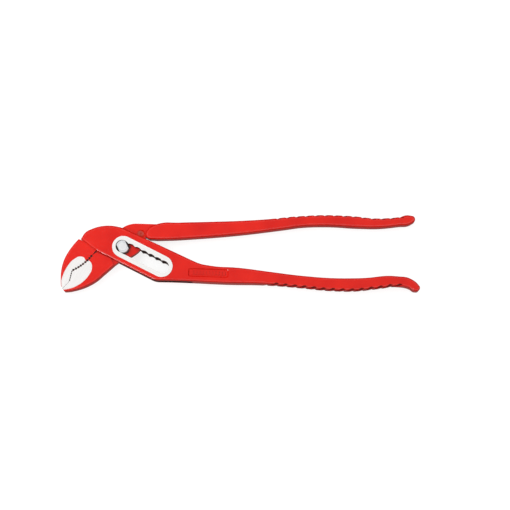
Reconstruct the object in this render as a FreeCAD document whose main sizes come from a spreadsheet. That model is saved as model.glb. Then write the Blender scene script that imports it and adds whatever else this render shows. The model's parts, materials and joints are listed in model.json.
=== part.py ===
import FreeCAD, Part
import math
import os

# Box-joint water-pump pliers, lying flat on their side, jaws closed, in the first notch.
# +X runs from the jaws to the handle ends, +Y from the box lever's handle to the through lever's
# handle, +Z up, normal to the flat sides.  Every sub-part is drawn about the joint: local x = y = 0
# is the rivet's axis in the first notch and local z = 0 is the middle of the thickness.
#
# box_lever       outer jaw, slotted box and lower handle, one forging
# through_lever   inner jaw, thin neck through the box and upper handle, one forging
# joint_rivet     the round pivot
# front_locking_collar, rear_locking_collar   flatted collars that seat in the slot's notches

Vector = FreeCAD.Vector
Z_AXIS = Vector(0, 0, 1)
TOUCH = 1e-6                  # closer than this counts as the same place
SUNK = 0.2                    # how far a raised detail reaches into what it stands on
TALL_EDGE = 2.5               # edges taller than this run through a part's thickness
SLAB_SIDE = 60.0              # wider than both jaws
NECK_DISC = 10.0              # wider than a collar
CUT_AT_LEAST = 100.0          # volume that a handle's taper must take off

DIMENSIONS = [
    # place of the joint in the part's frame
    ("pivot_x", -81.9, "joint axis from the middle of the length"),
    ("pivot_y", 4.1, "joint axis from the middle of the width"),
    # thickness of each region
    ("boss_thick", 13.0, "over the two ground bosses"),
    ("box_thick", 12.4, "over the two cheeks"),
    ("window_gap", 5.8, "between the two cheeks"),
    ("neck_thick", 5.6, "through lever inside the box"),
    ("jaw_thick", 8.6, "both jaws"),
    ("handle_thick", 9.8, "both handles at the grips"),
    # adjusting slot, along a line that falls towards the handles
    ("slot_angle", 27.0, "slope of the slot in degrees"),
    ("slot_radius", 4.4, "half width of the slot and radius of a notch"),
    ("notch_pitch", 5.25, "from notch to notch"),
    ("notch_count", 7, "jaw positions"),
    ("cusp_radius", 0.45, "rounding of the crests between notches"),
    ("slot_relief", 0.4, "slot's extra room beyond the first notch"),
    ("boss_radius", 7.6, "end radius of the ground boss"),
    ("boss_start", 0.5, "boss's first end centre along the slot"),
    ("boss_end", 30.7, "boss's second end centre along the slot"),
    # joint parts
    ("rivet_radius", 2.6, "pivot"),
    ("rivet_length", 12.8, "over the two ends"),
    ("rivet_flare", 0.2, "upset edge at each end"),
    ("rivet_dome", 0.12, "rise of each end's middle"),
    ("hole_radius", 2.65, "holes that turn on the pivot"),
    ("collar_radius", 4.3, "round sides of a collar"),
    ("collar_flats", 6.5, "across the flats of a collar"),
    ("collar_height", 4.0, "seat floor to outer end"),
    ("seat_depth", 0.5, "recess in the neck that a collar is keyed in"),
    ("seat_gap", 0.03, "play between collar and recess"),
    ("open_angle", 38.0, "jaw opening at which a collar slides along the slot"),
    # jaws
    ("neck_edge", 10.45, "neck's left edge from the joint axis"),
    ("web_edge", 10.7, "box's solid web from the joint axis"),
    ("neck_slope", 43.5, "slope of the neck's left edge in degrees"),
    ("hollow_radius", 4.0, "ball that hollows the neck beside the handle's shoulder"),
    ("hollow_depth", 1.2, "depth of that hollow"),
    ("jaw_gap", 0.2, "between the closed jaws"),
    ("cheek_clear", 10.9, "jaw's thick part from the joint axis"),
    ("tooth_depth", 0.95, "of the pipe teeth"),
    ("fine_depth", 0.4, "of the nose teeth"),
    ("flat_depth", 0.25, "ground flats on the jaws' sides"),
    # forged edges
    ("box_round", 1.5, "box and lower handle"),
    ("jaw_round", 1.25, "jaws"),
    ("handle_round", 1.8, "upper handle"),
    # grips
    ("rib_pitch", 6.6, "between grip grooves"),
    ("rib_count", 14, "grooves in each handle"),
    ("rib_radius", 1.5, "section of a groove"),
    ("rib_bite", 1.2, "depth of a groove"),
    ("rib_slant", 52.0, "groove's angle to the handle in degrees"),
    # recess on the lower handle, with a row of plain raised bars
    ("panel_length", 28.0, "recess, along the handle"),
    ("panel_width", 6.0, "recess, across the handle"),
    ("panel_corner", 1.4, "corner radius of the recess"),
    ("panel_depth", 0.8, "depth of the recess"),
    ("panel_slope", 0.7, "width of the recess's sloping sides"),
    ("bar_count", 11, "bars"),
    ("bar_width", 1.3, "bar, along the handle"),
    ("bar_length", 3.0, "bar, across the handle"),
    ("bar_height", 0.55, "bar, above the floor of the recess"),
]

doc = FreeCAD.newDocument("pliers")

sheet = doc.addObject("Spreadsheet::Sheet", "sheet")
for row, (alias, number, meaning) in enumerate(DIMENSIONS, start=1):
    sheet.set(f"A{row}", alias)
    sheet.set(f"B{row}", str(number))
    sheet.set(f"C{row}", meaning)
    sheet.setAlias(f"B{row}", alias)
doc.recompute()


def size(alias):
    return float(sheet.get(alias))


# ------------------------------------------------------------------------------------- drawing

def at(x, y):
    return Vector(x, y, 0)


def unit(degrees):
    angle = math.radians(degrees)
    return Vector(math.cos(angle), math.sin(angle), 0)


def line(start, end):
    return Part.LineSegment(start, end)


def arc(start, middle, end):
    return Part.Arc(start, middle, end)


def sweep_arc(start, direction, end):
    """The arc from start to end that leaves start in a direction, or a line if that is straight."""
    chord = end - start
    side = Vector(-chord.y, chord.x, 0).normalize()
    angle = math.atan2(direction.dot(side), direction.dot(chord) / chord.Length)
    if abs(angle) < 1e-5:
        return line(start, end)
    return arc(start, (start + end) * 0.5 + side * (chord.Length / 2 * math.tan(angle / 2)), end)


def smooth(points, start_slope=None, end_slope=None):
    """Tangent arcs through points, two to a step; a slope is the curve's direction in degrees.

    Inside the row each point takes the direction of the circle through it and its neighbours."""
    steps = [b - a for a, b in zip(points, points[1:])]
    slopes = []
    for before, after in zip(steps, steps[1:]):
        mixed = before * (after.Length / before.Length) + after * (before.Length / after.Length)
        slopes.append(mixed.normalize())
    first = unit(start_slope) if start_slope is not None else mirrored(slopes[0], steps[0])
    last = unit(end_slope) if end_slope is not None else mirrored(slopes[-1], steps[-1])
    slopes = [first] + slopes + [last]
    curves = []
    for number, step in enumerate(steps):
        leave, arrive = slopes[number], slopes[number + 1]
        start, end = points[number], points[number + 1]
        bend = 2 * (1 - leave.dot(arrive))
        pull = step.dot(leave + arrive)
        if bend < 1e-9:
            reach = step.dot(step) / (2 * pull)
        else:
            reach = (math.sqrt(pull ** 2 + bend * step.dot(step)) - pull) / bend
        middle = (start + end + (leave - arrive) * reach) * 0.5
        curves.append(sweep_arc(start, leave, middle))
        curves.append(sweep_arc(end, -arrive, middle))
    return curves


def mirrored(slope, step):
    """The slope at the other end of an arc that spans step."""
    along = Vector(step).normalize()
    return along * (2 * slope.dot(along)) - slope


def round_end(centre, radius, *degrees):
    """Points on a circle, for the round end of a handle."""
    return [centre + unit(angle) * radius for angle in degrees]


def heading(start, end):
    return math.degrees(math.atan2(end.y - start.y, end.x - start.x))


def rounded(before, corner, after, radius):
    """Where a rounded corner leaves its first line, its middle, and where it joins the second."""
    arriving = (corner - before).normalize()
    leaving = (after - corner).normalize()
    half_turn = math.acos(arriving.dot(leaving)) / 2
    reach = radius * math.tan(half_turn)
    inward = (leaving - arriving).normalize()
    middle = corner + inward * (radius / math.cos(half_turn) - radius)
    return corner - arriving * reach, middle, corner + leaving * reach


def polyline(points):
    return [line(a, b) for a, b in zip(points, points[1:])]


def closed(points):
    return polyline(points + points[:1])


def new_body(name):
    body = doc.addObject("PartDesign::Body", name)
    body.Label = name
    return body


def new_sketch(body, name, curves, plane="XY_Plane"):
    sketch = body.newObject("Sketcher::SketchObject", name)
    support = [item for item in body.Origin.OriginFeatures if item.Role == plane][0]
    sketch.AttachmentSupport = [(support, "")]
    sketch.MapMode = "FlatFace"
    sketch.addGeometry(curves)
    return sketch


def new_pad(body, name, curves, length, symmetric=True):
    """Pad an XY outline by a cell's length, evenly about the mid-plane unless told otherwise."""
    pad = body.newObject("PartDesign::Pad", name)
    pad.Profile = new_sketch(body, name + "_outline", curves)
    pad.SideType = "Symmetric" if symmetric else "One side"
    pad.setExpression("Length", length)
    doc.recompute()
    return pad


def plan_edges(shape, arcs_only):
    """Names of the edges round the flat sides, or of only the arcs among them."""
    names = []
    for number, edge in enumerate(shape.Edges, start=1):
        box = edge.BoundBox
        upright = box.ZLength > TALL_EDGE
        across = box.XLength < TOUCH and box.YLength > TALL_EDGE
        straight = not isinstance(edge.Curve, Part.Circle)
        if not upright and not across and not (arcs_only and straight):
            names.append(f"Edge{number}")
    return names


def new_fillet(body, name, base, radius, arcs_only=False):
    fillet = body.newObject("PartDesign::Fillet", name)
    fillet.Base = (base, plan_edges(base.Shape, arcs_only))
    fillet.setExpression("Radius", radius)
    doc.recompute()
    assert fillet.Shape.isValid(), name + " made a bad shape"
    return fillet


def new_taper(body, name, start, end, far):
    """Thin a handle from the box's thickness to the grip's with a smooth curve on both sides."""
    thick, thin, outside = size("box_thick") / 2, size("handle_thick") / 2, size("boss_thick")
    base_volume = body.Tip.Shape.Volume
    curves = []
    for side in (1, -1):
        # The XZ sketch has x along the part's X and y along its Z.
        ramp = Part.BSplineCurve()
        ramp.interpolate(Points=[at(start, side * thick), at(end, side * thin)],
                         InitialTangent=Vector(1, 0, 0), FinalTangent=Vector(1, 0, 0))
        curves.append(ramp)
        curves += polyline([at(end, side * thin), at(far, side * thin), at(far, side * outside),
                            at(start, side * outside), at(start, side * thick)])
    pocket = body.newObject("PartDesign::Pocket", name)
    pocket.Profile = new_sketch(body, name + "_profile", curves, "XZ_Plane")
    pocket.SideType = "Symmetric"
    pocket.Length = 4 * far
    doc.recompute()
    assert pocket.Shape.Volume < base_volume - CUT_AT_LEAST, name + " cut nothing"
    return pocket


def fuse(name, parts):
    joined = doc.addObject("Part::MultiFuse", name)
    joined.Shapes = parts
    return joined


def cut(name, base, tool):
    result = doc.addObject("Part::Cut", name)
    result.Base = base
    result.Tool = tool
    return result


def place(sub_part):
    """Stand a finished sub-part in the part's frame, with the lower boss on z = 0."""
    sub_part.setExpression("Placement.Base.x", "sheet.pivot_x")
    sub_part.setExpression("Placement.Base.y", "sheet.pivot_y")
    sub_part.setExpression("Placement.Base.z", "sheet.boss_thick / 2")


def tilt(body):
    """Turn a body drawn along the slot to the slot's slope."""
    body.Placement = FreeCAD.Placement(Vector(), FreeCAD.Rotation(Z_AXIS, -size("slot_angle")))


# ------------------------------------------------------------------- the line where the jaws meet

PIPE_TEETH = 9
NOSE_TEETH = 5
JAW_ROOT = at(-18.9, -2.9)
PIPE_START = at(-21.0, -5.7)
PIPE_END = at(-34.9, -16.6)
NOSE_END = at(-36.6, -24.0)
JAW_TIP = at(-41.3, -29.3)
PIPE_BOW = 1.07  # the pipe teeth lie on an arc that bows this far towards the inner jaw


def meeting_line():
    """Stations along the jaws' meeting line, and for each step the tooth depth cut in it."""
    chord = PIPE_END - PIPE_START
    bow = Vector(-chord.y, chord.x, 0).normalize()
    stations = [JAW_ROOT]
    depths = [0]
    for step in range(PIPE_TEETH + 1):
        share = step / PIPE_TEETH
        stations.append(PIPE_START + chord * share + bow * (4 * PIPE_BOW * share * (1 - share)))
        depths.append(size("tooth_depth"))
    depths[-1] = size("fine_depth")
    for step in range(1, NOSE_TEETH + 1):
        stations.append(PIPE_END + (NOSE_END - PIPE_END) * (step / NOSE_TEETH))
        depths.append(size("fine_depth"))
    depths[-1] = 0
    stations.append(JAW_TIP)
    return stations, depths


def toothed_edge(side):
    """The toothed edge of one jaw: side 1 is the outer jaw, side -1 the inner one."""
    stations, depths = meeting_line()
    steps = [b - a for a, b in zip(stations, stations[1:])]
    # Walking to the tip, the outer jaw lies to the right of the line.
    normals = [Vector(s.y, -s.x, 0).normalize() * side for s in steps]
    points = []
    for number, station in enumerate(stations):
        before = normals[max(number - 1, 0)]
        after = normals[min(number, len(normals) - 1)]
        outward = (before + after).normalize()
        points.append(station + outward * (size("jaw_gap") / 2))
        if number < len(steps) and depths[number] > 0:
            middle = station + steps[number] / 2
            points.append(middle + normals[number] * (size("jaw_gap") / 2 + depths[number]))
    return points


# ---------------------------------------------------------------------------------- box lever

STEP_LOW = at(-18.9, -2.27)   # where the cheeks end and the outer jaw begins
STEP_HIGH = at(-29.2, 5.5)
CHEEK_TOP = at(1.0, 12.75)
CHEEK_END = at(47.0, -8.95)
KNEE_RADIUS = 12.0            # the box's lower corner
KNEE = STEP_LOW + unit(-size("slot_angle")) * 46.9
KNEE_RUN = at(9, 0)           # the lower edge runs along the X axis after the knee
TAPER_START, TAPER_END = 76.0, 126.0
FAR_END = 215.0
NECK_DROP = 15.9              # the neck's left edge, from its nearest point to the joint down
NECK_RISE = 7.9               # and up
WINDOW_END = 48.5
WINDOW_TOP, WINDOW_BOTTOM = 19.0, -32.0
WINDOW_RISE = 14.0            # the window's left edge above its corner, past the box's outline
PANEL_CENTRE = at(59.8, -18.6)
PANEL_TURN = -2.0             # degrees, along the handle


def lower_handle():
    """The lower handle's edge, from the cheek's top round the tip to the box's lower corner."""
    knee_end = rounded(STEP_LOW, KNEE, KNEE + KNEE_RUN, KNEE_RADIUS)[2]
    top = [CHEEK_END, at(53.9, -11.9), at(61.5, -13.4), at(81.7, -14.9), at(103.0, -17.6),
           at(123.3, -20.1), at(144.0, -21.8), at(165.0, -21.9), at(190.0, -20.5),
           at(199.7, -22.1)]
    tip = round_end(at(203.9, -28.5), 2.6, 60, 0, -60, -110)
    belly = [at(199.0, -28.7), at(190.0, -27.2), at(178.8, -28.5), at(160.0, -30.4),
             at(144.0, -30.0), at(123.3, -28.0), at(103.0, -26.2), at(67.8, -25.2),
             at(45.0, -24.1), knee_end]
    return smooth(top + tip + belly, heading(CHEEK_TOP, CHEEK_END), 180)


def box_outline():
    hump = smooth([STEP_HIGH, at(-26.0, 10.2), at(-20.3, 13.2), at(-12.7, 14.9), at(-5.5, 14.6),
                   CHEEK_TOP], 55, heading(CHEEK_TOP, CHEEK_END))
    knee_start, knee_middle, knee_end = rounded(STEP_LOW, KNEE, KNEE + KNEE_RUN, KNEE_RADIUS)
    return hump + [line(CHEEK_TOP, CHEEK_END)] + lower_handle() + [
        arc(knee_end, knee_middle, knee_start), line(knee_start, STEP_LOW),
        line(STEP_LOW, STEP_HIGH)]


def make_box_block():
    body = new_body("box_block")
    new_pad(body, "box_pad", box_outline(), "sheet.box_thick")
    taper = new_taper(body, "handle_taper", TAPER_START, TAPER_END, FAR_END)
    new_fillet(body, "box_edges", taper, "sheet.box_round")
    return body


def make_outer_jaw():
    body = new_body("outer_jaw")
    toothed = toothed_edge(1)
    nose = at(-42.5, -27.3)
    inside = [at(-17.0, 2.0), at(-20.5, 8.0), at(-27.5, 4.2)]
    brow = at(-31.0, 5.7)
    outer = smooth([nose, at(-42.8, -23.0), at(-42.4, -15.1), at(-40.7, -8.7), at(-38.0, -3.4),
                    at(-34.4, 1.8), brow])
    curves = outer + polyline([brow] + inside[::-1] + toothed) + [line(toothed[-1], nose)]
    pad = new_pad(body, "outer_jaw_pad", curves, "sheet.jaw_thick")
    new_fillet(body, "outer_jaw_edges", pad, "sheet.jaw_round", arcs_only=True)
    return body


def make_boss():
    """The ground stadium round the slot, standing proud of both cheeks."""
    body = new_body("boss")
    radius, start, end = size("boss_radius"), size("boss_start"), size("boss_end")
    curves = [arc(at(start, radius), at(start - radius, 0), at(start, -radius)),
              line(at(start, -radius), at(end, -radius)),
              arc(at(end, -radius), at(end + radius, 0), at(end, radius)),
              line(at(end, radius), at(start, radius))]
    new_pad(body, "boss_pad", curves, "sheet.boss_thick")
    tilt(body)
    return body


def slot_outline():
    """Straight along the bottom, a round notch for each jaw position along the top."""
    radius, cusp, pitch = size("slot_radius"), size("cusp_radius"), size("notch_pitch")
    relief = size("slot_relief")
    last = (int(size("notch_count")) - 1) * pitch
    crest_height = math.sqrt((radius + cusp) ** 2 - (pitch / 2) ** 2)
    share = radius / (radius + cusp)
    curves = [arc(at(-relief, -radius), at(-relief - radius, 0), at(-relief, radius)),
              line(at(-relief, radius), at(0, radius))]
    start = at(0, radius)
    for notch in range(int(size("notch_count")) - 1):
        centre = at(notch * pitch, 0)
        crest = at((notch + 0.5) * pitch, crest_height)
        following = at((notch + 1) * pitch, 0)
        leave = centre + (crest - centre) * share
        join = following + (crest - following) * share
        between = (start + leave) * 0.5 - centre
        curves.append(arc(start, centre + between.normalize() * radius, leave))
        curves.append(arc(leave, crest - Vector(0, cusp, 0), join))
        start = join
    end_centre = at(last, 0)
    top = end_centre + at(0, radius)
    between = (start + top) * 0.5 - end_centre
    curves.append(arc(start, end_centre + between.normalize() * radius, top))
    curves.append(arc(top, at(last + radius, 0), at(last, -radius)))
    curves.append(line(at(last, -radius), at(-relief, -radius)))
    return curves


def make_slot():
    body = new_body("slot")
    new_pad(body, "slot_pad", slot_outline(), "2 * sheet.boss_thick")
    tilt(body)
    return body


def make_window():
    """The gap between the cheeks: its left end clears the neck from closed to wide open."""
    slope, swing = size("neck_slope"), size("open_angle")
    above = size("web_edge") / math.cos(math.radians(swing / 2))
    apex = unit(slope + 90 + swing / 2) * above
    root = unit(slope + 90) * size("web_edge") - unit(slope) * NECK_DROP
    corners = [apex, apex + unit(slope + swing) * WINDOW_RISE, at(WINDOW_END, WINDOW_TOP),
               at(WINDOW_END, WINDOW_BOTTOM), at(-16, WINDOW_BOTTOM), at(-17.6, -6.5), root]
    body = new_body("window")
    new_pad(body, "window_pad", closed(corners), "sheet.window_gap")
    return body


def make_slab(name, thickness):
    """A wide plate about the mid-plane, as thick as the formula says."""
    slab = doc.addObject("Part::Box", name)
    slab.Length = SLAB_SIDE
    slab.Width = SLAB_SIDE
    slab.setExpression("Height", thickness)
    slab.Placement.Base = at(-SLAB_SIDE, -0.75 * SLAB_SIDE)
    slab.setExpression("Placement.Base.z", f"-({thickness}) / 2")
    return slab


def make_flats(name, curves):
    """Cutters that leave a ground flat on each side of a jaw."""
    body = new_body(name + "_eye")
    new_pad(body, name + "_eye_pad", curves, "2 * sheet.boss_thick")
    slab = make_slab(name + "_slab", "sheet.jaw_thick - 2 * sheet.flat_depth")
    return cut(name + "_cutter", body, slab)


def grip_grooves(name, edge, start, side):
    """Slanted grooves across a handle's outer side, evenly spaced along its edge.

    edge is the handle's outline, start the x of the first groove, and side 1 or -1 which of the
    outline's two crossings is taken, the higher or the lower."""
    radius, bite = size("rib_radius"), size("rib_bite")
    length = 3 * size("handle_thick")
    slant = math.radians(size("rib_slant"))
    grooves = []
    for number in range(int(size("rib_count"))):
        point, tangent = crossing(edge, start + number * size("rib_pitch"), side)
        normal = Vector(-tangent.y, tangent.x, 0) * side
        direction = tangent * math.cos(slant) + Z_AXIS * math.sin(slant)
        centre = point + normal * (radius - bite)
        grooves.append(Part.makeCylinder(radius, length, centre - direction * (length / 2),
                                         direction))
    feature = doc.addObject("Part::Feature", name)
    feature.Shape = Part.makeCompound(grooves)
    return feature


def crossing(edge, x, side):
    """The highest (side 1) or lowest (side -1) point of an outline at x, and its tangent."""
    found = []
    for curve in edge:
        low, high = curve.FirstParameter, curve.LastParameter
        if (curve.value(low).x - x) * (curve.value(high).x - x) > 0:
            continue
        rising = curve.value(high).x > curve.value(low).x
        for _ in range(40):
            middle = (low + high) / 2
            if (curve.value(middle).x > x) == rising:
                high = middle
            else:
                low = middle
        found.append((curve.value(low), curve.tangent(low)[0]))
    point, tangent = max(found, key=lambda pair: side * pair[0].y)
    return point, tangent if tangent.x > 0 else -tangent


def panel_place():
    """The middle of the recess's floor, turned along the handle."""
    floor = size("box_thick") / 2 - size("panel_depth")
    return FreeCAD.Placement(PANEL_CENTRE + Z_AXIS * floor,
                             FreeCAD.Rotation(Z_AXIS, PANEL_TURN))


def make_panel():
    """A cutter for a shallow recess with round corners and sloping sides, in the front side."""
    corner = size("panel_corner")
    x, y = size("panel_length") / 2 - corner, size("panel_width") / 2 - corner
    centres = [at(x, y), at(-x, y), at(-x, -y), at(x, -y)]
    curves = []
    for number, centre in enumerate(centres):
        turn = 90 * number
        start, middle, end = (centre + unit(turn + step) * corner for step in (0, 45, 90))
        following = centres[(number + 1) % len(centres)] + unit(turn + 90) * corner
        curves += [arc(start, middle, end), line(end, following)]
    body = new_body("panel")
    pad = new_pad(body, "panel_pad", curves, "2 * sheet.panel_depth", symmetric=False)
    rim = [f"Edge{number}" for number, edge in enumerate(pad.Shape.Edges, start=1)
           if edge.BoundBox.ZMax < TOUCH]
    slope = body.newObject("PartDesign::Chamfer", "panel_slope")
    slope.Base = (pad, rim)
    slope.setExpression("Size", "sheet.panel_slope")
    body.Placement = panel_place()
    doc.recompute()
    return body


def make_bars():
    """Plain raised bars in the recess, a blank stand-in for a stamped mark."""
    count, wide, tall = int(size("bar_count")), size("bar_width"), size("bar_length")
    pitch = (size("panel_length") - 2 * size("bar_length")) / (count - 1)
    bars = []
    for number in range(count):
        left = (number - (count - 1) / 2) * pitch - wide / 2
        bar = Part.makeBox(wide, tall, size("bar_height") + SUNK, Vector(left, -tall / 2, -SUNK))
        bar.Placement = panel_place()
        bars.append(bar)
    feature = doc.addObject("Part::Feature", "panel_bars")
    feature.Shape = Part.makeCompound(bars)
    return feature


def make_box_lever():
    block = make_box_block()
    forging = fuse("box_forging", [block, make_outer_jaw(), make_boss()])
    eye = smooth([at(-43.5, -31.5), at(-41.9, -22.0), at(-38.8, -14.5), at(-33.8, -8.6),
                  at(-29.4, -6.7), at(-26.4, -8.0)], 90, -60)
    eye += polyline([at(-26.4, -8.0), at(-24.0, -13.0), at(-33.0, -20.0), at(-36.0, -31.5),
                     at(-43.5, -31.5)])
    tools = fuse("box_cuts", [make_window(), make_slot(), make_panel(),
                              make_flats("outer_flat", eye),
                              grip_grooves("lower_grip", lower_handle(), 103.0, -1)])
    lever = fuse("box_lever", [cut("box_machined", forging, tools), make_bars()])
    lever.Refine = True
    return lever


# ------------------------------------------------------------------------------ through lever

SHOULDER = at(15.7, 7.7)      # inner corner of the upper handle, just clear of the cheeks
HOLLOW = at(12.4, 9.6)        # beside the shoulder, just above the closed box's edge
JAW_HEEL = 5.3                # straight part of the inner jaw's back, along the open cheeks
NECK_RIGHT = [at(15.3, 6.5), at(14.4, 2.6), at(11.2, -2.4), at(5.9, -6.4), at(-2.3, -10.1),
              at(-8.5, -15.0)]


def inner_jaw_root():
    """The corner of the jaw's thick part that clears the cheeks from closed to wide open."""
    half_swing = size("open_angle") / 2
    downward = 270 - size("slot_angle")
    return unit(downward - half_swing) * (
        size("cheek_clear") / math.cos(math.radians(half_swing)))


def make_inner_jaw():
    body = new_body("inner_jaw")
    toothed = toothed_edge(-1)
    corner = inner_jaw_root()
    downward = 270 - size("slot_angle")
    along_open = unit(downward - size("open_angle") + 90)
    outside = corner + along_open * JAW_HEEL
    start = at(-18.5, -3.95)
    tip = at(-40.1, -31.0)
    outer = smooth([outside, at(-8.6, -15.1), at(-12.0, -18.1), at(-18.9, -24.0),
                    at(-25.9, -27.8), at(-32.8, -30.0), at(-37.2, -30.85), tip])
    curves = polyline([start] + toothed[1:] + [tip])
    curves += outer + polyline([outside, corner, start])
    pad = new_pad(body, "inner_jaw_pad", curves, "sheet.jaw_thick")
    new_fillet(body, "inner_jaw_edges", pad, "sheet.jaw_round", arcs_only=True)
    return body


def make_neck():
    body = new_body("neck")
    nearest = unit(size("neck_slope") + 90) * size("neck_edge")
    low = nearest - unit(size("neck_slope")) * NECK_DROP
    high = nearest + unit(size("neck_slope")) * NECK_RISE
    crown_end = at(9.5, 16.85)
    crown = smooth([high, at(1.6, 15.1), at(4.8, 16.3), crown_end], size("neck_slope"), 0)
    buried_handle = [crown_end, at(27.0, 16.3), at(27.0, 7.6), at(17.0, 8.2), NECK_RIGHT[0]]
    buried_jaw = [NECK_RIGHT[-1], at(-15.0, -15.0), at(-19.6, -7.6), low, high]
    curves = crown + polyline(buried_handle) + smooth(NECK_RIGHT) + polyline(buried_jaw)
    new_pad(body, "neck_pad", curves, "sheet.neck_thick")
    return body


def upper_outline():
    """The upper handle from its shoulder, along the top, round the knob and back."""
    top = [SHOULDER, at(16.2, 11.1), at(19.4, 14.7), at(25.0, 16.8), at(40.0, 17.5),
           at(60.0, 18.0), at(81.7, 18.7), at(100.0, 19.8), at(120.0, 21.8), at(140.0, 22.8),
           at(158.0, 22.2), at(178.8, 20.4), at(191.0, 21.1)]
    knob = round_end(at(201.4, 19.8), 2.7, 100, 40, -20, -80)
    bottom = [at(191.0, 15.2), at(178.8, 14.0), at(164.0, 14.2), at(144.0, 15.3),
              at(126.0, 14.9), at(109.4, 12.7), at(81.7, 9.3), at(53.9, 6.9), at(30.0, 5.6),
              at(22.0, 5.6), at(17.6, 6.2), SHOULDER]
    return smooth(top + knob + bottom)


def make_upper_handle():
    body = new_body("upper_handle")
    pad = new_pad(body, "upper_handle_pad", upper_outline(), "sheet.handle_thick")
    new_fillet(body, "upper_handle_edges", pad, "sheet.handle_round")
    return body


def collar_outline(margin):
    """A disc with two flats that lie along the slot once the jaws are wide open."""
    radius = size("collar_radius") + margin
    half = size("collar_flats") / 2 + margin
    reach = math.sqrt(radius ** 2 - half ** 2)
    turn = FreeCAD.Rotation(Z_AXIS, -size("slot_angle") - size("open_angle"))
    corners = [turn.multVec(at(x, y)) for x, y in
               ((reach, half), (-reach, half), (-reach, -half), (reach, -half))]
    ends = [turn.multVec(at(-radius, 0)), turn.multVec(at(radius, 0))]
    return [line(corners[0], corners[1]), arc(corners[1], ends[0], corners[2]),
            line(corners[2], corners[3]), arc(corners[3], ends[1], corners[0])]


def make_seats():
    """Keyed recesses for the collars, one in each side of the neck."""
    body = new_body("seats")
    new_pad(body, "seats_pad", collar_outline(size("seat_gap")), "2 * sheet.boss_thick")
    return cut("seat_cutter", body, make_slab_round("seat_slab"))


def make_slab_round(name):
    slab = doc.addObject("Part::Cylinder", name)
    slab.Radius = NECK_DISC
    slab.setExpression("Height", "sheet.neck_thick - 2 * sheet.seat_depth")
    slab.setExpression("Placement.Base.z", "-(sheet.neck_thick - 2 * sheet.seat_depth) / 2")
    return slab


def make_hollow(name, side):
    """A ball that leaves a shallow round hollow in one side of the neck."""
    ball = doc.addObject("Part::Sphere", name)
    ball.setExpression("Radius", "sheet.hollow_radius")
    ball.Placement = FreeCAD.Placement(HOLLOW, FreeCAD.Rotation(Vector(1, 0, 0), 90))
    ball.setExpression("Placement.Base.z", f"{side} * (sheet.neck_thick / 2 - sheet.hollow_depth"
                                           " + sheet.hollow_radius)")
    return ball


def make_hole():
    hole = doc.addObject("Part::Cylinder", "pivot_hole")
    hole.setExpression("Radius", "sheet.hole_radius")
    hole.setExpression("Height", "2 * sheet.boss_thick")
    hole.setExpression("Placement.Base.z", "-sheet.boss_thick")
    return hole


def make_through_lever():
    forging = fuse("through_forging", [make_inner_jaw(), make_neck(), make_upper_handle()])
    eye = smooth([at(-24.6, -8.9), at(-21.9, -10.9), at(-21.1, -15.2), at(-23.6, -20.6),
                  at(-29.5, -26.3), at(-36.0, -29.3), at(-43.5, -30.2)], -30, 180)
    eye += polyline([at(-43.5, -30.2), at(-40.5, -24.0), at(-37.5, -16.0), at(-24.6, -8.9)])
    tools = fuse("through_cuts", [make_hole(), make_seats(), make_flats("inner_flat", eye),
                                  make_hollow("front_hollow", 1), make_hollow("rear_hollow", -1),
                                  grip_grooves("upper_grip", upper_outline(), 105.3, 1)])
    lever = cut("through_lever", forging, tools)
    lever.Refine = True
    return lever


# ---------------------------------------------------------------------------------- the joint

def make_rivet():
    """A turned pin with a small upset edge and a slight dome at each end."""
    body = new_body("joint_rivet")
    radius, half, flare = size("rivet_radius"), size("rivet_length") / 2, size("rivet_flare")
    edge, dome = radius + flare, size("rivet_dome")
    ball = (edge ** 2 + dome ** 2) / (2 * dome)
    sag = ball - math.sqrt(ball ** 2 - (edge / 2) ** 2)
    curves = []
    for end in (1, -1):
        top, rim, neck = end * half, end * (half - dome), end * (half - dome - flare)
        curves.append(arc(at(0, top), at(edge / 2, top - end * sag), at(edge, rim)))
        curves.append(line(at(edge, rim), at(radius, neck)))
    curves.append(line(at(radius, neck), at(radius, -neck)))
    curves.append(line(at(0, -half), at(0, half)))
    turned = body.newObject("PartDesign::Revolution", "rivet_turned")
    turned.Profile = new_sketch(body, "rivet_profile", curves, "XZ_Plane")
    axis = [item for item in body.Origin.OriginFeatures if item.Role == "Z_Axis"][0]
    turned.ReferenceAxis = (axis, [""])
    turned.Angle = 360
    doc.recompute()
    return body


def make_collar(name, side):
    """side 1 is the front (upper) collar, -1 the rear one."""
    body = new_body(name)
    pad = new_pad(body, name + "_pad", collar_outline(0), "sheet.collar_height", False)
    pad.Reversed = side < 0
    hole = body.newObject("PartDesign::Pocket", name + "_bore")
    circle = Part.Circle(at(0, 0), Z_AXIS, size("hole_radius"))
    hole.Profile = new_sketch(body, name + "_bore_outline", [circle])
    hole.SideType = "Symmetric"
    hole.setExpression("Length", "4 * sheet.boss_thick")
    doc.recompute()
    top = side * size("collar_height")
    rims = [f"Edge{number}" for number, edge in enumerate(hole.Shape.Edges, start=1)
            if edge.Length < 2 * math.pi * size("hole_radius") + 0.1 and edge.Closed
            and abs(edge.BoundBox.ZMin - top) < TOUCH]
    chamfer = body.newObject("PartDesign::Chamfer", name + "_countersink")
    chamfer.Base = (hole, rims)
    chamfer.setExpression("Size", "sheet.rivet_flare")
    doc.recompute()
    return body


box_lever = make_box_lever()
through_lever = make_through_lever()
joint_rivet = make_rivet()
front_collar = make_collar("front_locking_collar", 1)
rear_collar = make_collar("rear_locking_collar", -1)

for piece in (box_lever, through_lever, joint_rivet, front_collar, rear_collar):
    place(piece)
seat_floor = "(sheet.neck_thick / 2 - sheet.seat_depth)"
front_collar.setExpression("Placement.Base.z", f"sheet.boss_thick / 2 + {seat_floor}")
rear_collar.setExpression("Placement.Base.z", f"sheet.boss_thick / 2 - {seat_floor}")
doc.recompute()

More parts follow.
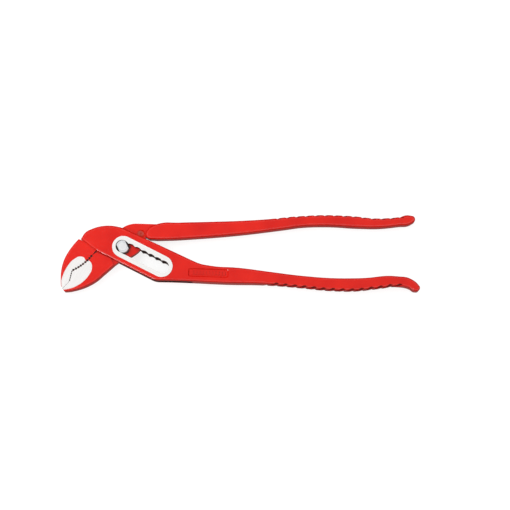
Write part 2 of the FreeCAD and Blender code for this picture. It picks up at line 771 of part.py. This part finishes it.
for item in doc.Objects:
    assert "Invalid" not in item.State and "Error" not in item.State, f"{item.Label} failed"

SUB_PARTS = (box_lever, through_lever, joint_rivet, front_collar, rear_collar)
os.makedirs("parts", exist_ok=True)
for piece in SUB_PARTS:
    shape = piece.Shape
    assert not shape.isNull() and shape.isValid(), f"{piece.Label} has a bad shape"
    assert len(shape.Solids) == 1, f"{piece.Label} is {len(shape.Solids)} solids"
for piece in SUB_PARTS:
    piece.Shape.exportStep(f"parts/{piece.Label}.step")
    box = piece.Shape.BoundBox
    print(f"{piece.Label}: {piece.Shape.Volume / 1000:.2f} cm3, x {box.XMin:.2f} {box.XMax:.2f}, "
          f"y {box.YMin:.2f} {box.YMax:.2f}, z {box.ZMin:.2f} {box.ZMax:.2f}")
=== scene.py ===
"""Looks of a pair of box-joint water-pump pliers, lying flat on a white floor.

Everything is in metres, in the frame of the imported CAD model: +X from the jaws to the handle
ends, +Z up from the floor.  The CAD nodes keep their shapes.  The levers get red lacquer, and
bare steel on the faces that are ground, machined or rubbed on the real tool.  The rivet and the
collars are bare steel.
"""

import json
import math

import bpy
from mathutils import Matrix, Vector


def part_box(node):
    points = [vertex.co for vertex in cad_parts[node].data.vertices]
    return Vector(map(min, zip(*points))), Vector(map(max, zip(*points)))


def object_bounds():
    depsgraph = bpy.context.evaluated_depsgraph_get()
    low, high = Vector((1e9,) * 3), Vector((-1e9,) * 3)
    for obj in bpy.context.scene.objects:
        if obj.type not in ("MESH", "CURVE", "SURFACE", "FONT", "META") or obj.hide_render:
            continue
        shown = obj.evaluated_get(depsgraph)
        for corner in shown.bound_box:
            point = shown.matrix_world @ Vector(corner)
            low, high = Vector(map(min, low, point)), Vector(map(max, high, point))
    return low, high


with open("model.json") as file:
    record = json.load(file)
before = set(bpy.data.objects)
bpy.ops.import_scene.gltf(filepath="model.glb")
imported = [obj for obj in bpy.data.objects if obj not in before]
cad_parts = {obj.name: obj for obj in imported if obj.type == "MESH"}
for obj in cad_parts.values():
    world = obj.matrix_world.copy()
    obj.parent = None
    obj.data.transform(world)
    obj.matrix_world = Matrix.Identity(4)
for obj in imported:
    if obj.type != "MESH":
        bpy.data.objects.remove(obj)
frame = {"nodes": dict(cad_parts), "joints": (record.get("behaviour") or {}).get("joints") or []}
cad_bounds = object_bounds()

MM = 0.001
joints = {joint["name"]: joint for joint in frame["joints"]}
# the joint axis, at the middle of the thickness, and the way that the joint slides
PIVOT = Vector(joints["jaw_open"]["pos_m"])
SLOT = Vector(joints["jaw_adjust"]["axis"]).normalized()
SLOT_TURN = math.atan2(SLOT.y, SLOT.x)
SLOT_ACROSS = Vector((-SLOT.y, SLOT.x, 0))

# Sizes from here to the grooves are in millimetres, and places are about the joint axis.
SLOT_LENGTH = joints["jaw_adjust"]["range_m"][1] / MM
SLOT_REACH = 5.2           # the slot's walls, from its middle line
SEAT_RADIUS = 4.4          # the pivot hole and the collars' seats
# heights from the middle of the thickness, and how near a face has to be to count as one of them
BOSS_TOP = (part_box("box_lever")[1].z - PIVOT.z) / MM
WINDOW_HALF = 2.9
JAW_FLAT = 4.05
LEVEL = 0.1
JAW_LEVEL = 0.05
# about where the jaws meet, from the first pipe tooth to the tip, and how far teeth are from it
MEETING_LINE = [Vector(p) for p in ((-21.0, -5.7), (-28.6, -10.3), (-34.9, -16.6), (-36.6, -24.0),
                                    (-41.3, -29.3))]
TOOTH_REACH = 1.4
# painted shade on the through lever, as a colour, x, y, inner and outer radius: round the
# joint and in the hollow
PAINTED_SHADE_SPOTS = (((0.035, 0.010, 0.008), 0, 0, 4.8, 5.9), ((0.34, 0.018, 0.005), 12.4, 9.6, 1.4, 3.2))
SHADE_SPOT_RAGGED = 0.4
# slanted grooves across the handles' backs, from the first one's x
GROOVE_PITCH, GROOVE_COUNT, GROOVE_HALF = 6.6, 14, 1.4
GROOVE_SLANT = math.radians(52)
BOX_GROOVE_START, THROUGH_GROOVE_START = 103.0, 105.3

# What a face's normal has to be: at least FLAT along Z on a flat face, at most UPRIGHT on a wall,
# and in a groove at most SLOPING along Z and at least BACKWARD out of the handle's back.
FLAT, UPRIGHT, SLOPING, BACKWARD = 0.99, 0.3, 0.85, 0.1

# most of a noise texture's values lie between these
NOISE_LOW, NOISE_HIGH = 0.3, 0.7
LACQUER_REDS = (0.49, 0.0055, 0.0024), (0.57, 0.0095, 0.0036)
JAW_GRINDING = math.radians(60)
COLLAR_GRINDING = math.radians(20)


# ------------------------------------------------------------------------------- node helpers

def add_remap(tree, socket, low, high, to_low, to_high):
    """A value taken from one range to another, and held at its ends."""
    node = tree.nodes.new("ShaderNodeMapRange")
    for name, value in (("From Min", low), ("From Max", high), ("To Min", to_low),
                        ("To Max", to_high)):
        node.inputs[name].default_value = value
    tree.links.new(socket, node.inputs["Value"])
    return node.outputs["Result"]


def add_ramp(tree, socket, stops):
    """Colours by value, as (position, colour) stops."""
    node = tree.nodes.new("ShaderNodeValToRGB")
    elements = node.color_ramp.elements
    while len(elements) < len(stops):
        elements.new(0.5)
    for element, (position, colour) in zip(elements, stops):
        element.position = position
        element.color = (*colour, 1)
    tree.links.new(socket, node.inputs["Fac"])
    return node.outputs["Color"]


class Shader:
    """A material's node tree, with short calls for the nodes that the finishes share."""

    def __init__(self, name):
        self.material = bpy.data.materials.new(name)
        self.material.use_nodes = True
        self.tree = self.material.node_tree
        self.nodes, self.links = self.tree.nodes, self.tree.links
        self.surface = self.nodes["Principled BSDF"]
        self.place = self.nodes.new("ShaderNodeTexCoord").outputs["Object"]
        self.normal = None

    def set(self, **values):
        for name, value in values.items():
            socket = name.replace("_", " ").title().replace("Ior", "IOR")
            self.surface.inputs[socket].default_value = value

    def feed(self, name, socket):
        self.links.new(socket, self.surface.inputs[name])

    def moved(self, vector, **values):
        """A vector after a mapping with this location, rotation or scale."""
        node = self.nodes.new("ShaderNodeMapping")
        for name, value in values.items():
            node.inputs[name.title()].default_value = value
        self.links.new(vector, node.inputs["Vector"])
        return node.outputs["Vector"]

    def mapped(self, turn=0.0, stretch=(1, 1, 1)):
        """Object coordinates about the joint, turned about Z, then stretched."""
        about_joint = self.moved(self.place, location=-PIVOT)
        turned = self.moved(about_joint, rotation=(0, 0, -turn))
        return self.moved(turned, scale=stretch)

    def noise(self, size, detail=2.0, roughness=0.5, vector=None):
        """Noise whose lumps are about this many millimetres wide."""
        node = self.nodes.new("ShaderNodeTexNoise")
        node.inputs["Scale"].default_value = 1 / (size * MM)
        node.inputs["Detail"].default_value = detail
        node.inputs["Roughness"].default_value = roughness
        self.links.new(vector or self.place, node.inputs["Vector"])
        return node.outputs["Fac"]

    def wander(self, low, high, size, detail=2.0):
        """A value that noise takes to and fro between two."""
        return add_remap(self.tree, self.noise(size, detail), NOISE_LOW, NOISE_HIGH, low, high)

    def shades(self, noise, dark, light, light_from=NOISE_HIGH):
        """Noise as a colour between two."""
        return add_ramp(self.tree, noise, ((NOISE_LOW, dark), (light_from, light)))

    def paint_shade_spot(self, colour, shade_colour, x, y, inner, outer):
        """Takes a colour to painted shade round a point about the joint axis, with a ragged edge.
        """
        flat = self.moved(self.mapped(), location=(-x * MM, -y * MM, 0), scale=(1, 1, 0))
        reach = self.nodes.new("ShaderNodeVectorMath")
        reach.operation = "LENGTH"
        self.links.new(flat, reach.inputs[0])
        ragged = self.nodes.new("ShaderNodeMath")
        self.links.new(reach.outputs["Value"], ragged.inputs[0])
        self.links.new(self.wander(-SHADE_SPOT_RAGGED * MM, SHADE_SPOT_RAGGED * MM, 1.2, 3.0),
                       ragged.inputs[1])
        mix = self.nodes.new("ShaderNodeMix")
        mix.data_type = "RGBA"
        mix.inputs["B"].default_value = (*shade_colour, 1)
        self.links.new(add_remap(self.tree, ragged.outputs["Value"], inner * MM, outer * MM, 1, 0),
                       mix.inputs["Factor"])
        self.links.new(colour, mix.inputs["A"])
        return mix.outputs["Result"]

    def bump(self, height, depth, strength=0.5):
        """Adds relief that is this many millimetres deep."""
        node = self.nodes.new("ShaderNodeBump")
        node.inputs["Distance"].default_value = depth * MM
        node.inputs["Strength"].default_value = strength
        self.links.new(height, node.inputs["Height"])
        if self.normal:
            self.links.new(self.normal, node.inputs["Normal"])
        self.normal = node.outputs["Normal"]

    def done(self):
        if self.normal:
            self.feed("Normal", self.normal)
        return self.material


# ----------------------------------------------------------------------------------- finishes

def lacquer(name, shade_spots=(), shade=1.0):
    """Dipped red lacquer over a drop forging: orange peel over soft unevenness."""
    shader = Shader(name)
    shader.set(specular_ior_level=0.0, coat_weight=0.9, coat_roughness=0.08)
    # a shade below 1 darkens the reds, which paints shade
    low, high = (tuple(shade * channel for channel in red) for red in LACQUER_REDS)
    colour = shader.shades(shader.noise(14, 3.0), low, high)
    # painted shade: the lacquer darkened round the joint and in the hollow
    for place in shade_spots:
        colour = shader.paint_shade_spot(colour, *place)
    shader.feed("Base Color", colour)
    shader.feed("Roughness", shader.wander(0.27, 0.40, 2.2, 3.0))
    shader.bump(shader.noise(7.0), 0.05, 0.6)
    shader.bump(shader.noise(1.1, 1.0), 0.012, 0.6)
    return shader.done()


def ground_steel(name, turn, tint=(0.96, 0.965, 0.97)):
    """Bare steel with the fine parallel lines of a grinding belt, which runs along turn."""
    shader = Shader(name)
    shader.set(metallic=1.0)
    lines = shader.noise(1.0, 4.0, 0.65, shader.mapped(turn, (0.05, 6.0, 6.0)))
    dark = tuple(0.88 * channel for channel in tint)
    shader.feed("Base Color", shader.shades(lines, dark, tint, light_from=0.62))
    shader.feed("Roughness", shader.wander(0.56, 0.66, 9.0))
    shader.bump(lines, 0.006)
    return shader.done()


def bare_steel(name, dark, light):
    """Machined steel of the teeth, slot and bores, a little oily, between two greys."""
    shader = Shader(name)
    shader.set(metallic=1.0)
    grain = shader.noise(0.5, 3.0, 0.6)
    shader.feed("Base Color", shader.shades(grain, (dark,) * 3, (light,) * 3))
    shader.feed("Roughness", shader.wander(0.35, 0.5, 1.5))
    shader.bump(grain, 0.01)
    return shader.done()


def turned_steel(name):
    """Polished steel of the pivot, with faint turning rings round its axis."""
    shader = Shader(name)
    shader.set(metallic=1.0)
    rings = shader.nodes.new("ShaderNodeTexWave")
    rings.wave_type = "RINGS"
    rings.rings_direction = "Z"
    rings.inputs["Scale"].default_value = 1 / (2.0 * MM)
    rings.inputs["Distortion"].default_value = 0.6
    rings.inputs["Detail"].default_value = 2.0
    shader.links.new(shader.mapped(), rings.inputs["Vector"])
    shader.feed("Base Color", shader.shades(shader.noise(1.4), (0.84, 0.87, 0.90),
                                            (0.92, 0.94, 0.96)))
    shader.feed("Roughness", shader.wander(0.42, 0.52, 0.8))
    shader.bump(rings.outputs["Fac"], 0.004)
    return shader.done()


# ------------------------------------------------------------------------ which face gets which

def from_meeting_line(point):
    """How far a point is from the line where the jaws meet, in millimetres."""
    nearest = math.inf
    for start, end in zip(MEETING_LINE, MEETING_LINE[1:]):
        along = end - start
        share = min(max((point - start).dot(along) / along.length_squared, 0), 1)
        nearest = min(nearest, (point - start - along * share).length)
    return nearest


def finish_of(centre, normal):
    """The finish of a lever's face, by its middle about the joint axis, in millimetres."""
    flat = abs(normal.z) > FLAT
    upright = abs(normal.z) < UPRIGHT
    height = abs(centre.z)
    if flat and height > BOSS_TOP - LEVEL:
        return "boss"
    if flat and abs(height - JAW_FLAT) < JAW_LEVEL:
        return "jaw"
    if upright and from_meeting_line(centre.to_2d()) < TOOTH_REACH:
        return "teeth"
    return "lacquer"


def in_groove(centre, normal, start, side):
    """Whether a face is in one of the slanted grooves; side is the way the handle's back faces."""
    along = centre.x - centre.z / math.tan(GROOVE_SLANT) - start
    number = round(along / GROOVE_PITCH)
    offset = abs(along - number * GROOVE_PITCH) * math.sin(GROOVE_SLANT)
    return (0 <= number < GROOVE_COUNT and offset < GROOVE_HALF and normal.y * side > BACKWARD
            and abs(normal.z) < SLOPING)


def finish_of_box(centre, normal):
    """As finish_of, for the lever with the slot and the window between its cheeks."""
    facing_in = normal.z * centre.z < 0 and abs(normal.z) > FLAT
    along, across = centre.dot(SLOT), centre.dot(SLOT_ACROSS)
    in_slot = abs(across) < SLOT_REACH and -SLOT_REACH < along < SLOT_LENGTH + SLOT_REACH
    # near-black oiled steel on the window's inner faces and the slot's walls: partly the steel's
    # own colour, partly painted shade
    if facing_in and abs(centre.z) < WINDOW_HALF + LEVEL:
        return "oiled_and_shade"
    if in_slot and abs(normal.z) < UPRIGHT:
        return "oiled_and_shade"
    if in_groove(centre, normal, BOX_GROOVE_START, -1):
        return "groove"
    return finish_of(centre, normal)


def finish_of_through(centre, normal):
    """As finish_of, for the lever that turns on the pivot."""
    if centre.to_2d().length < SEAT_RADIUS:
        return "oiled_and_shade"
    if in_groove(centre, normal, THROUGH_GROOVE_START, 1):
        return "groove"
    return finish_of(centre, normal)


def dress(node, materials, choose):
    """Gives a node its materials, and each face the one that choose names."""
    mesh = frame["nodes"][node].data
    names = list(materials)
    mesh.materials.clear()
    for name in names:
        mesh.materials.append(materials[name])
    for polygon in mesh.polygons:
        centre = (polygon.center - PIVOT) / MM
        polygon.material_index = names.index(choose(centre, polygon.normal))


shared = {
    "boss": ground_steel("ground_boss_steel", SLOT_TURN),
    "jaw": ground_steel("ground_jaw_steel", JAW_GRINDING),
    "teeth": bare_steel("machined_steel", 0.30, 0.46),
    # near-black oiled steel, which also paints the shade inside the window and the slot
    "oiled_and_shade": bare_steel("oiled_steel_painted_shade", 0.035, 0.07),
    # painted shade in the grooves: their lacquer at about a third of its brightness
    "groove": lacquer("groove_painted_shade_red_lacquer", shade=0.35),
}
dress("box_lever", {"lacquer": lacquer("box_lever_red_lacquer"), **shared}, finish_of_box)
dress("through_lever", {"lacquer": lacquer("through_lever_red_lacquer", PAINTED_SHADE_SPOTS), **shared},
      finish_of_through)
dress("joint_rivet", {"turned": turned_steel("turned_pivot_steel")}, lambda *_: "turned")
collar_steel = {"collar": ground_steel("ground_collar_steel", COLLAR_GRINDING,
                                       (0.80, 0.83, 0.86))}
for collar in ("front_locking_collar", "rear_locking_collar"):
    dress(collar, collar_steel, lambda *_: "collar")


# -------------------------------------------------------------------------------------- stage

def add_floor():
    """A white floor that gives off light.  Reflections and bounced light pass through it."""
    side, gap, grey = 3.0, 0.1 * MM, 0.26
    mesh = bpy.data.meshes.new("floor")
    corners = [(-side, -side, 0), (side, -side, 0), (side, side, 0), (-side, side, 0)]
    mesh.from_pydata(corners, [], [(0, 1, 2, 3)])
    floor = bpy.data.objects.new("floor", mesh)
    floor.location.z = cad_bounds[0].z - gap
    floor.visible_diffuse = False
    floor.visible_glossy = False
    bpy.context.scene.collection.objects.link(floor)
    shader = Shader("white_floor")
    shader.set(base_color=(grey, grey, grey, 1), roughness=0.8, specular_ior_level=0.0,
               emission_color=(1, 1, 1, 1), emission_strength=0.80)
    mesh.materials.append(shader.done())


def add_softbox(name, azimuth, elevation, distance, width, height, power, hidden_from):
    """A rectangular light that faces the object from a direction given in degrees.

    hidden_from is the kind of ray that doesn't see it."""
    light = bpy.data.lights.new(name, "AREA")
    light.shape = "RECTANGLE"
    light.size, light.size_y, light.energy = width, height, power
    item = bpy.data.objects.new(name, light)
    turn, rise = math.radians(azimuth), math.radians(elevation)
    back = Vector((math.sin(turn) * math.cos(rise), -math.cos(turn) * math.cos(rise),
                   math.sin(rise)))
    item.location = back * distance
    item.rotation_euler = back.to_track_quat("Z", "Y").to_euler()
    setattr(item, hidden_from, False)
    bpy.context.scene.collection.objects.link(item)


def add_world(strength, back_share):
    """A white tent that is open above the tool, and dim at the back and towards the floor."""
    wall = (1, 0.975, 0.95)
    # colours by the sine of the elevation; those below zero light the object through the floor
    stops = ((-0.10, (0.21, 0.11, 0.10)), (0.24, (0.165, 0.155, 0.15)), (0.60, wall),
             (0.92, wall), (0.955, (0.36, 0.35, 0.34)))
    front_end, back_start = 0.2, 0.8
    world = bpy.data.worlds.new("studio")
    world.use_nodes = True
    tree = world.node_tree
    split = tree.nodes.new("ShaderNodeSeparateXYZ")
    tree.links.new(tree.nodes.new("ShaderNodeTexCoord").outputs["Generated"],
                   split.inputs["Vector"])
    sky = tree.nodes["Background"]
    tree.links.new(add_ramp(tree, add_remap(tree, split.outputs["Z"], -1, 1, 0, 1),
                            [((up + 1) / 2, colour) for up, colour in stops]),
                   sky.inputs["Color"])
    tree.links.new(add_remap(tree, split.outputs["Y"], front_end, back_start, strength,
                             back_share * strength), sky.inputs["Strength"])
    bpy.context.scene.world = world


def add_camera(elevation, distance, lens, target):
    """A long lens, almost straight above the tool and a little towards its lower handle."""
    camera = bpy.data.cameras.new("camera")
    camera.sensor_width = 36.0
    camera.lens = lens
    item = bpy.data.objects.new("camera", camera)
    rise = math.radians(elevation)
    back = Vector((0, -math.cos(rise), math.sin(rise)))
    item.location = target + back * distance
    item.rotation_euler = back.to_track_quat("Z", "Y").to_euler()
    bpy.context.scene.collection.objects.link(item)
    bpy.context.scene.camera = item


add_floor()
add_world(strength=1.45, back_share=0.4)
add_softbox("key_softbox", azimuth=-120, elevation=55, distance=0.65, width=0.5, height=0.4,
            power=2.7, hidden_from="visible_glossy")
add_softbox("near_softbox", azimuth=-35, elevation=12, distance=0.9, width=0.4, height=0.2,
            power=3.5, hidden_from="visible_diffuse")
add_camera(elevation=80, distance=0.983, lens=100.0, target=Vector((10.2, -2.0, 13.0)) * MM)
bpy.context.scene.view_settings.view_transform = "Standard"
